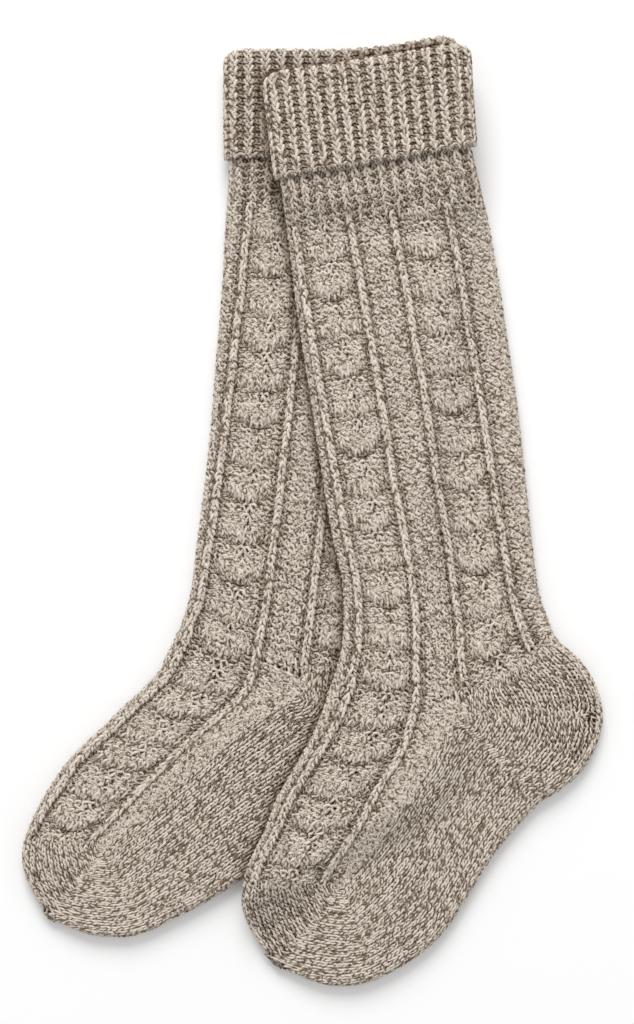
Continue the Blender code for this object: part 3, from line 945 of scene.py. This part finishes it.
def tube_round(yarn):
    """A closed tube round each run of points: vertices, quads, end caps, lengths, first points and shade.

    At each point the ring is point + r(u cos a + v sin a), where u is the outward direction made square to
    the path, and v is the path's direction times u. The shade is painted shade: how far each vertex is sunk
    in the knitting, darkened further by the painted contact shadow beside the right sock.
    """
    points, outward, run = yarn["place"], yarn["outward"], yarn["run"]
    count = len(points)
    after = np.minimum(np.arange(count) + 1, count - 1)
    before = np.maximum(np.arange(count) - 1, 0)
    is_last = np.append(run[1:] != run[:-1], True)
    is_first = np.append(True, run[1:] != run[:-1])
    after = np.where(is_last, np.arange(count), after)
    before = np.where(is_first, np.arange(count), before)
    path = points[after] - points[before]
    path /= np.linalg.norm(path, axis=1, keepdims=True)
    u = outward - (outward * path).sum(1, keepdims=True) * path
    u /= np.linalg.norm(u, axis=1, keepdims=True)
    v = np.cross(path, u)
    angle = 2 * np.pi * np.arange(SIDES) / SIDES
    ring = u[:, None] * np.cos(angle)[:, None] + v[:, None] * np.sin(angle)[:, None]
    thick = yarn["thick"][:, None]
    vertices = (points[:, None] + thick[..., None] * MM * ring).reshape(-1, 3)
    # painted shade: each vertex's colour is darkened by its depth below the top of the knitting
    sunk = ease((-yarn["depth"][:, None] - thick * np.cos(angle) - SUNK_FROM) / (SUNK_TO - SUNK_FROM))
    # painted contact shadow, added to the painted shade of depth
    sunk = 1 - (1 - sunk) * (1 - CONTACT_SHADE * yarn["contact"][:, None])
    step = np.linalg.norm(np.diff(points, axis=0), axis=1) / MM
    length = np.append(0, np.cumsum(step))
    start = np.flatnonzero(~is_last)
    side = np.arange(SIDES)
    a = (start[:, None] * SIDES + side).reshape(-1)
    b = (start[:, None] * SIDES + (side + 1) % SIDES).reshape(-1)
    quads = np.column_stack([a, b, b + SIDES, a + SIDES])
    first_caps = np.flatnonzero(is_first)[:, None] * SIDES + side[::-1]
    last_caps = np.flatnonzero(is_last)[:, None] * SIDES + side
    return vertices, quads, np.concatenate([first_caps, last_caps]), length, start, sunk.reshape(-1)


MAP_LENGTH = 100.0  # millimetres to one unit of a map, along the yarn or down the wall
MAP_GIRTH = 5.0  # and round the wall
RUN_SHIFT = 0.37  # between one row of yarn and the next, so that their patches differ


def unroll(length, run, start):
    """Two maps of the tubes: in millimetres along and turns round the yarn, and packed as one strip a run."""
    side = np.arange(SIDES)
    corner_point = np.stack([start, start, start + 1, start + 1], axis=1)[:, None, :].repeat(SIDES, axis=1)
    corner_side = np.stack([side, side + 1, side + 1, side], axis=1)[None].repeat(len(start), axis=0)
    runs = run.max() + 1
    first = np.searchsorted(run, np.arange(runs))
    last = np.append(first[1:], len(run)) - 1
    longest = (length[last] - length[first]).max()
    along = length[corner_point]
    number = run[corner_point]
    yarn = np.stack([along / MAP_LENGTH + number * RUN_SHIFT, corner_side / SIDES], axis=-1).reshape(-1, 2)
    packed_u = 0.005 + 0.99 * (along - length[first][number]) / longest
    packed_v = (number + 0.08 + 0.84 * corner_side / SIDES) / runs
    return yarn, np.stack([packed_u, packed_v], axis=-1).reshape(-1, 2)


def add_piece(name, vertices, faces, material):
    mesh = bpy.data.meshes.new(name)
    mesh.from_pydata(np.asarray(vertices).tolist(), [], faces)
    mesh.shade_smooth()
    mesh.materials.append(material)
    piece = bpy.data.objects.new(name, mesh)
    bpy.context.scene.collection.objects.link(piece)
    return piece


def knit(sock, name, yarn, jobs):
    """One piece of yarn from several (zone, chart, runs), with its two UV maps."""
    parts = [yarn_path(sock, zone, chart, runs, yarn) for zone, chart, runs in jobs if runs]
    runs_before = np.cumsum([0] + [part["run"].max() + 1 for part in parts])
    for part, before in zip(parts, runs_before):
        part["run"] = part["run"] + before
    joined = {key: np.concatenate([part[key] for part in parts]) for key in parts[0]}
    vertices, quads, caps, length, start, sunk = tube_round(joined)
    piece = add_piece(name, vertices, quads.tolist() + caps.tolist(), yarn.wool)
    piece.data.attributes.new("sunk", "FLOAT", "POINT").data.foreach_set("value", sunk)
    unrolled, packed = unroll(length, joined["run"], start)
    cap_corners = caps.size
    for map_name, corners in (("yarn", unrolled), ("OFBake", packed)):
        layer = piece.data.uv_layers.new(name=map_name)
        values = np.concatenate([corners, np.full((cap_corners, 2), 0.001)])
        layer.data.foreach_set("uv", values.reshape(-1))
    triangles = 2 * len(quads) + len(caps) * (SIDES - 2)
    print(f"{name}: {len(quads) // (SIDES * STEPS)} stitches, {triangles} triangles")
    return piece


# %% [markdown]
# ## The wool
#
# The yarn is two plies twisted together, which is called a marl: one ply is cream, and the other is tan with
# patches of dark brown. Seen close, the plies wind round each other as slanting strokes with a groove between
# them, which is darkened as painted shade, and from afar they read as short dark dashes on cream. The
# material follows the yarn's own map: the ply that shows is the sign of a sine of the length along the yarn
# plus the turn round it. Wool that lies sunk among the stitches has its colour darkened as painted shade.

# %% The marled wool
CREAM = (0.79, 0.71, 0.62, 1.0)
SAND = (0.75, 0.67, 0.58, 1.0)
TAN = (0.68, 0.60, 0.51, 1.0)
BROWN = (0.17, 0.115, 0.075, 1.0)
# painted shade: how dark the groove between the plies is made
GROOVE_SHADE = 0.78
WHITE = (1.0, 1.0, 1.0, 1.0)
# painted shade: the dark brown that wool sunk among the stitches is darkened towards
SUNK_SHADE_TINT = (0.31, 0.25, 0.195, 1.0)


class Nodes:
    """A short way to add nodes to a tree and to join them."""

    def __init__(self, tree):
        self.tree = tree

    def add(self, kind, values=(), **settings):
        node = self.tree.nodes.new(kind)
        for key, value in settings.items():
            setattr(node, key, value)
        for socket, value in dict(values).items():
            self.feed(node, socket, value)
        return node

    def feed(self, node, socket, value):
        target = node.inputs[socket] if isinstance(socket, (int, str)) else socket
        if isinstance(value, bpy.types.NodeSocket):
            self.tree.links.new(value, target)
        else:
            target.default_value = value

    def math(self, operation, a, b=0.0):
        return self.add("ShaderNodeMath", {0: a, 1: b}, operation=operation).outputs[0]

    def noise(self, x, y, scale, detail=1.0):
        place = self.add("ShaderNodeCombineXYZ", {0: x, 1: y}).outputs[0]
        values = {"Vector": place, "Scale": scale, "Detail": detail}
        return self.add("ShaderNodeTexNoise", values).outputs[0]

    def smooth(self, value, low, high, to_low=0.0, to_high=1.0):
        """The value eased from to_low at low to to_high at high."""
        values = {"Value": value, "From Min": low, "From Max": high, "To Min": to_low, "To Max": to_high}
        return self.add("ShaderNodeMapRange", values, interpolation_type="SMOOTHSTEP").outputs[0]

    def mix(self, share, a, b):
        node = self.add("ShaderNodeMix", {0: share}, data_type="RGBA")
        first, second = (s for s in node.inputs if s.name in "AB" and s.type == "RGBA")
        self.feed(node, first, a)
        self.feed(node, second, b)
        return next(s for s in node.outputs if s.type == "RGBA")

    def scale(self, colour, factor):
        node = self.add("ShaderNodeVectorMath", {0: colour}, operation="SCALE")
        self.feed(node, "Scale", factor)
        return node.outputs[0]


def new_group(name, inputs, outputs):
    """An empty node group with named sockets, its maker of nodes and its two ends."""
    tree = bpy.data.node_groups.new(name, "ShaderNodeTree")
    for direction, sockets in (("INPUT", inputs), ("OUTPUT", outputs)):
        for socket, kind in sockets.items():
            tree.interface.new_socket(socket, in_out=direction, socket_type=f"NodeSocket{kind}")
    return tree, Nodes(tree), tree.nodes.new("NodeGroupInput"), tree.nodes.new("NodeGroupOutput")


def marl_group():
    """The plies: inputs are the yarn's map, the twist's length in millimetres, the share of brown and how far
    the wool is sunk among the stitches, which paints the shade of less light there: its colour is darkened
    towards a dark brown.

    With s = sin(2 pi (length / twist + turn round the yarn + drift)), the cream ply shows where s is above 0
    and the tan one where it is below, with the brown along its middle, where s is near -1. The groove is
    where s is near 0, and the height is the root of |s|. Painted shade darkens the colour in the groove, and
    painted light and shade follow the fibres: darker where they lie low and lighter where they stand high.
    """
    tree, make, given, result = new_group(
        "two_ply_marl",
        {"Yarn": "Vector", "Twist": "Float", "Brown": "Float", "SunkShade": "Float"},
        {"Color": "Color", "Height": "Float"},
    )
    split = make.add("ShaderNodeSeparateXYZ", {0: given.outputs["Yarn"]})
    length = make.math("MULTIPLY", split.outputs[0], MAP_LENGTH)
    turns = make.math("ADD", make.math("DIVIDE", length, given.outputs["Twist"]), split.outputs[1])
    turns = make.math("ADD", turns, make.math("MULTIPLY", make.noise(length, 0.0, 0.09), 6.0))
    stripe = make.math("SINE", make.math("MULTIPLY", turns, 2 * np.pi))
    first_ply = make.smooth(stripe, -0.2, 0.2)
    cream = make.mix(make.smooth(make.noise(length, 5.0, 0.3, 2.0), 0.4, 0.65), CREAM, SAND)
    patch = make.math("ADD", make.noise(length, 9.0, 0.36, 2.0), given.outputs["Brown"])
    core = make.smooth(stripe, -0.85, -0.25, 1.0, 0.0)
    dark = make.mix(make.math("MULTIPLY", make.smooth(patch, 0.38, 0.54), core), TAN, BROWN)
    colour = make.mix(first_ply, dark, cream)
    fibre = make.noise(make.math("MULTIPLY", length, 0.8), make.math("MULTIPLY", turns, 14.0), 1.0, 3.0)
    ridge = make.math("ABSOLUTE", stripe)
    # painted light and shade: the colour follows the fibres' height, and the groove between the plies is
    # darkened
    shade = make.smooth(fibre, 0.3, 0.7, 0.88, 1.1)
    shade = make.math("MULTIPLY", shade, make.smooth(ridge, 0.0, 0.5, GROOVE_SHADE, 1.0))
    height = make.math("ADD", make.math("POWER", ridge, 0.5), make.math("MULTIPLY", fibre, 0.5))
    # painted shade: the colour is darkened towards a dark brown as far as the wool is sunk
    shade_tint = make.mix(given.outputs["SunkShade"], WHITE, SUNK_SHADE_TINT)
    tinted = make.add("ShaderNodeVectorMath", {0: colour, 1: shade_tint}, operation="MULTIPLY")
    make.feed(result, "Color", make.scale(tinted.outputs[0], shade))
    make.feed(result, "Height", height)
    return tree


def stockinette_group():
    """Small slanting stitches drawn on a flat cloth: inputs are its map and the size of a stitch.

    Across a wale the legs lean like a V: the height is the sine of pi times the part of (row + |2 wale - 1|)
    past a whole number, times 1 - |2 wale - 1|^6 to sink the cloth between the wales.
    """
    tree, make, given, result = new_group(
        "drawn_stitches",
        {"Cloth": "Vector", "Wale": "Float", "Row": "Float"},
        {"Height": "Float", "Shade": "Float"},
    )
    split = make.add("ShaderNodeSeparateXYZ", {0: given.outputs["Cloth"]})
    row = make.math("DIVIDE", make.math("MULTIPLY", split.outputs[0], MAP_LENGTH), given.outputs["Row"])
    wale = make.math("DIVIDE", make.math("MULTIPLY", split.outputs[1], MAP_GIRTH), given.outputs["Wale"])
    twice = make.math("MULTIPLY", make.math("FRACT", wale), 2.0)
    part = make.math("ABSOLUTE", make.math("SUBTRACT", twice, 1.0))
    leg = make.math("SINE", make.math("MULTIPLY", make.math("FRACT", make.math("ADD", row, part)), np.pi))
    flat = make.math("SUBTRACT", 1.0, make.math("POWER", part, 6.0))
    height = make.math("MULTIPLY", leg, flat)
    make.feed(result, "Height", height)
    # painted shade: the drawn stitches' colour is darker where their height is low
    make.feed(result, "Shade", make.smooth(height, 0.0, 0.6, 0.45, 1.0))
    return tree


MARL, STITCHES = marl_group(), stockinette_group()


def wool_material(name, map_name, twist, brown):
    """Wool with the plies: the material, its tree's maker of nodes, its shader, the plies and the map."""
    material = bpy.data.materials.new(name)
    material.use_nodes = True
    make = Nodes(material.node_tree)
    shader = material.node_tree.nodes["Principled BSDF"]
    place = make.add("ShaderNodeUVMap", uv_map=map_name)
    marl = make.add("ShaderNodeGroup", node_tree=MARL)
    make.feed(marl, "Yarn", place.outputs[0])
    make.feed(marl, "Twist", twist)
    make.feed(marl, "Brown", brown)
    # painted shade: each piece's sunk attribute darkens the wool's colour
    sunk = make.add("ShaderNodeAttribute", attribute_name="sunk")
    make.feed(marl, "SunkShade", sunk.outputs["Fac"])
    shader.inputs["Roughness"].default_value = 0.95
    shader.inputs["Specular IOR Level"].default_value = 0.1
    return material, make, shader, marl, place


def yarn_material(name, twist, brown):
    material, make, shader, marl, _ = wool_material(name, "yarn", twist, brown)
    bump = make.add("ShaderNodeBump", {"Strength": 0.8, "Distance": 0.0004, "Height": marl.outputs["Height"]})
    make.feed(shader, "Base Color", marl.outputs["Color"])
    make.feed(shader, "Normal", bump.outputs[0])
    return material


def ground_material():
    """The wall under the loops: darkened as painted shade on its top side, where it is sunk below them, and
    drawn stitches on the underside.
    """
    material, make, shader, marl, place = wool_material("marled_ground", "rows", 6.0, 0.0)
    stitches = make.add("ShaderNodeGroup", node_tree=STITCHES)
    make.feed(stitches, "Cloth", place.outputs[0])
    make.feed(stitches, "Wale", WALE)
    make.feed(stitches, "Row", ROW)
    height = stitches.outputs["Height"]
    bump = make.add("ShaderNodeBump", {"Strength": 0.8, "Distance": 0.001, "Height": height})
    # painted shade: the drawn stitches darken the wall's colour where they are low
    make.feed(shader, "Base Color", make.scale(marl.outputs["Color"], stitches.outputs["Shade"]))
    make.feed(shader, "Normal", bump.outputs[0])
    return material


cuff_wool = yarn_material("marled_yarn_loose", 8.0, 0.0)
leg_wool = yarn_material("marled_yarn", 7.0, 0.0)
foot_wool = yarn_material("marled_yarn_tight", 8.0, 0.08)
ground_wool = ground_material()
print("materials:", [wool.name for wool in (cuff_wool, leg_wool, foot_wool, ground_wool)])

# %% [markdown]
# ## The cloth under the loops
#
# The loops leave small gaps, and behind them the real sock has the back of its own stitches and a second
# layer. One closed wall fills that role: it goes up the outside of the foot and leg, inside the cuff, round
# the hem, over the fold and back down inside to the toe, a little way inside the loops. Where it lies under
# the loops its colour is darkened as painted shade, so the gaps look deep. On the underside, which lies on
# the table, it comes out to the full thickness and is all that there is.

# %% The wall of each sock
GROUND_DEPTH = 2.2
COLUMNS = 64
TOP_COLUMN = 12  # where the wall's length is measured
OUTSIDE_RINGS, CUFF_RINGS, INSIDE_RINGS = 84, 24, 28
FOLD_ANGLES = np.radians([25, 50, 75, 100, 125, 150, 180])
INNER_END = 1.2  # lines of the table from the toe's tip to the end of the inside


def wall_stations(sock):
    """The closed wall's cross-sections in order, as (kind, where, outward distance on top, underneath)."""
    stations = [("leg", place, -GROUND_DEPTH, 0.0) for place in np.linspace(sock.last, 0, OUTSIDE_RINGS)]
    inside = np.array([sock.cuff_length - HEM_RADIUS, sock.cuff_length * 0.6, 14.0, FOLD_RADIUS])
    stations += [("cuff", down, -WALL - LAYER_GAP - 1, -WALL - LAYER_GAP) for down in inside]
    stations += [("cuff", down, -WALL, -WALL) for down in inside[::-1]]
    stations.append(("cuff", sock.cuff_length - 1.0, -(GROUND_DEPTH + WALL) / 2, -HEM_RADIUS))
    outside = np.linspace(sock.cuff_length - 2, FOLD_RADIUS, CUFF_RINGS)
    stations += [("cuff", down, -GROUND_DEPTH, 0.0) for down in outside]
    for angle in FOLD_ANGLES:
        radius = np.interp(angle, [0.5 * np.pi, 0.9 * np.pi], [FOLD_RADIUS - GROUND_DEPTH, FOLD_RADIUS])
        down = FOLD_RADIUS - radius * np.sin(angle)
        top_out = radius * np.cos(angle) - FOLD_RADIUS
        stations.append(("cuff", down, top_out, FOLD_RADIUS * (np.cos(angle) - 1)))
    stations += [("cuff", down, -2 * FOLD_RADIUS, -2 * FOLD_RADIUS) for down in (10.0, 30.0, inside[0])]
    inner_places = np.linspace(0, sock.last - INNER_END, INSIDE_RINGS)
    return stations + [("leg", place, -WALL, -WALL) for place in inner_places]


def wall_points(sock):
    """All the stations' rings as one grid of places, and how far each column is sunk below the loops, which
    sets its painted shade.
    """
    girth = 2 * WALES * np.arange(COLUMNS) / COLUMNS
    wale = np.where(girth > 1.5 * WALES, girth - 2 * WALES, girth)
    from_back = wale > WALES / 2
    near = np.where(from_back, WALES - wale, wale)
    on_top = ease((near + EDGE_WALES) / 1.5)
    rings = []
    for kind, where, top_out, under_out in wall_stations(sock):
        out = under_out + (top_out - under_out) * on_top
        place_on = place_on_leg if kind == "leg" else place_on_cuff
        rings.append(place_on(sock, np.full(COLUMNS, where), wale, out))
    return np.array(rings), on_top


def add_wall(name, sock, material):
    """The closed wall as a piece, with its two maps and its painted shade, from how far it is sunk below the
    loops.
    """
    grid, sunk = wall_points(sock)
    rings = len(grid)
    first = np.arange(rings - 1)[:, None] * COLUMNS
    column = np.arange(COLUMNS)
    a = (first + column).reshape(-1)
    b = (first + (column + 1) % COLUMNS).reshape(-1)
    quads = np.column_stack([a, b, b + COLUMNS, a + COLUMNS])
    tip, inner_tip = rings * COLUMNS, rings * COLUMNS + 1
    after = (column + 1) % COLUMNS
    last = (rings - 1) * COLUMNS
    caps = [(tip, int(n), int(c)) for c, n in zip(column, after)]
    caps += [(inner_tip, last + int(c), last + int(n)) for c, n in zip(column, after)]
    vertices = np.concatenate([grid.reshape(-1, 3), [grid[0].mean(0)], [grid[-1].mean(0)]])
    piece = add_piece(name, vertices, quads.tolist() + caps, material)
    # painted shade: the wall's top side and its two tips are darkened in full
    sunk = np.append(np.tile(sunk, rings), [1.0, 1.0])
    piece.data.attributes.new("sunk", "FLOAT", "POINT").data.foreach_set("value", sunk)
    row_walk = measure(grid[:, TOP_COLUMN]) / MM
    round_walk = 2 * WALES * np.arange(COLUMNS + 1) / COLUMNS * WALE
    above, below = row_walk[:-1], row_walk[1:]
    low, high = round_walk[:-1], round_walk[1:]
    u = np.stack([above, above, below, below], axis=1)[:, None].repeat(COLUMNS, 1)
    v = np.stack([low, high, high, low], axis=1)[None].repeat(rings - 1, 0)
    for map_name, scale_u, scale_v in (
        ("rows", 1 / MAP_LENGTH, 1 / MAP_GIRTH),
        ("OFBake", 0.99 / row_walk[-1], 0.99 / round_walk[-1]),
    ):
        layer = piece.data.uv_layers.new(name=map_name)
        corners = np.stack([u * scale_u + 0.005, v * scale_v + 0.005], axis=-1).reshape(-1, 2)
        values = np.concatenate([corners, np.full((6 * COLUMNS, 2), 0.002)])
        layer.data.foreach_set("uv", values.reshape(-1))
    area = float(np.array([p.area for p in piece.data.polygons]).sum())
    print(f"{name}: {len(quads)} faces, {area:.4f} m2 over both sides")
    return piece


right_cloth = add_wall("right_cloth", right, ground_wool)
left_cloth = add_wall("left_cloth", left, ground_wool)

# %% [markdown]
# ## Knit both socks
#
# The stitches of the right sock all show. Those of the left sock that lie under the right one are left out,
# because nobody can see them and the wall is there. Each sock's yarn is split into a few pieces at natural
# places, to keep every mesh at a size that is easy to handle.

# %% Knit the socks
HIDDEN_DEPTH = 5.5  # millimetres inside the right sock's outline from which the left sock's stitches go
FOLD_ROWS = 3  # rows of the cuff that go on round its top fold
CUFF_WRAPS = (3, 3)  # stitches that go on round the cuff's two edges
# The yarn's radius in millimetres, as it springs open where it is knitted loosely, and the swing of its loops
CUFF_YARN = SimpleNamespace(wool=cuff_wool, radius=0.95, swing=0.47)
UNDER_CUFF_YARN = SimpleNamespace(wool=leg_wool, radius=0.92, swing=0.46)
LEG_YARN = SimpleNamespace(wool=leg_wool, radius=0.85, swing=0.33)
RIB_YARN = SimpleNamespace(wool=leg_wool, radius=0.8, swing=0.34)
FOOT_YARN = SimpleNamespace(wool=foot_wool, radius=0.68, swing=0.25)
HEEL_FROM = 19  # the first wale of the heel


def under_right(places):
    """Whether places lie well inside the right sock's outline."""
    return depth_inside(places[:, :2] / MM - SHIFT, right_outline) > HIDDEN_DEPTH


def knit_sock(side, sock, hidden):
    """All the yarn of one sock. Rows before a zone's first go on under the zone above it."""
    zones = sock.zones
    leg, instep, cuff = zones["leg"], zones["instep"], zones["cuff"]
    middle = leg.rows // 2

    def runs(name, first=0, last=None, wraps=(1, 1), only=None):
        zone = zones[name]
        return stitch_runs(zone, first, zone.rows if last is None else last, wraps, hidden, only)

    hem_rib, cuff_rib, leg_rib = (single_rib(*rib) for rib in (HEM_RIB, CUFF_RIB, UNDER_CUFF_RIB))
    last_rows = runs("leg", leg.rows, leg.rows + 1)
    above_heel = [(row, max(start, HEEL_FROM), stop) for row, start, stop in last_rows if stop > HEEL_FROM]
    hem = runs("cuff", -1, 0, CUFF_WRAPS)
    cuff_rows = runs("cuff", 0, cuff.rows + FOLD_ROWS, CUFF_WRAPS)
    pieces = {
        "cuff_yarn": (CUFF_YARN, [(cuff, hem_rib, hem), (cuff, cuff_rib, cuff_rows)]),
        "leg_rib_yarn": (UNDER_CUFF_YARN, [(zones["under_cuff"], leg_rib, runs("under_cuff", -2))]),
        "leg_yarn_upper": (LEG_YARN, [(leg, panels, runs("leg", UNDER_CUFF_ROWS, middle))]),
        "leg_yarn_lower": (LEG_YARN, [(leg, panels, runs("leg", middle, leg.rows))]),
        "rib_yarn": (RIB_YARN, [
            (zones["leg_ribs"], raised_rib, runs("leg_ribs", int(UNDER_CUFF_ROWS / RIB_ROWS), only=RIBS)),
            (zones["instep_ribs"], raised_rib, runs("instep_ribs", only=RIBS[:2])),
        ]),
        "instep_yarn": (LEG_YARN, [(instep, instep_chart(leg.rows), runs("instep"))]),
        "heel_yarn": (FOOT_YARN, [
            (leg, stockinette, above_heel),
            (zones["heel_upper"], stockinette, runs("heel_upper", -1)),
            (zones["heel_lower"], stockinette, runs("heel_lower")),
        ]),
        "sole_yarn": (FOOT_YARN, [(zones["sole"], stockinette, runs("sole"))]),
        "toe_yarn": (FOOT_YARN, [
            (zones["toe_top"], stockinette, runs("toe_top")),
            (zones["toe_sole"], stockinette, runs("toe_sole")),
        ]),
    }
    return [knit(sock, f"{side}_{name}", *work) for name, work in pieces.items()]


right_yarn = knit_sock("right", right, None)
left_yarn = knit_sock("left", left, under_right)

# %% [markdown]
# ## Attach the pieces
#
# Each wall stands for its solid, which is hidden, and every piece of both socks is attached to one body.

for side, cloth, yarn, rests_on in (
    ("left", left_cloth, left_yarn, ()),
    ("right", right_cloth, right_yarn, (left_cloth,)),
):
    for piece in (cloth, *yarn):
        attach(piece, "root")
    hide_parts(f"sock_{side}")
    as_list(rests_on)
    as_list(yarn)
print("pieces:", 2 + len(right_yarn) + len(left_yarn))
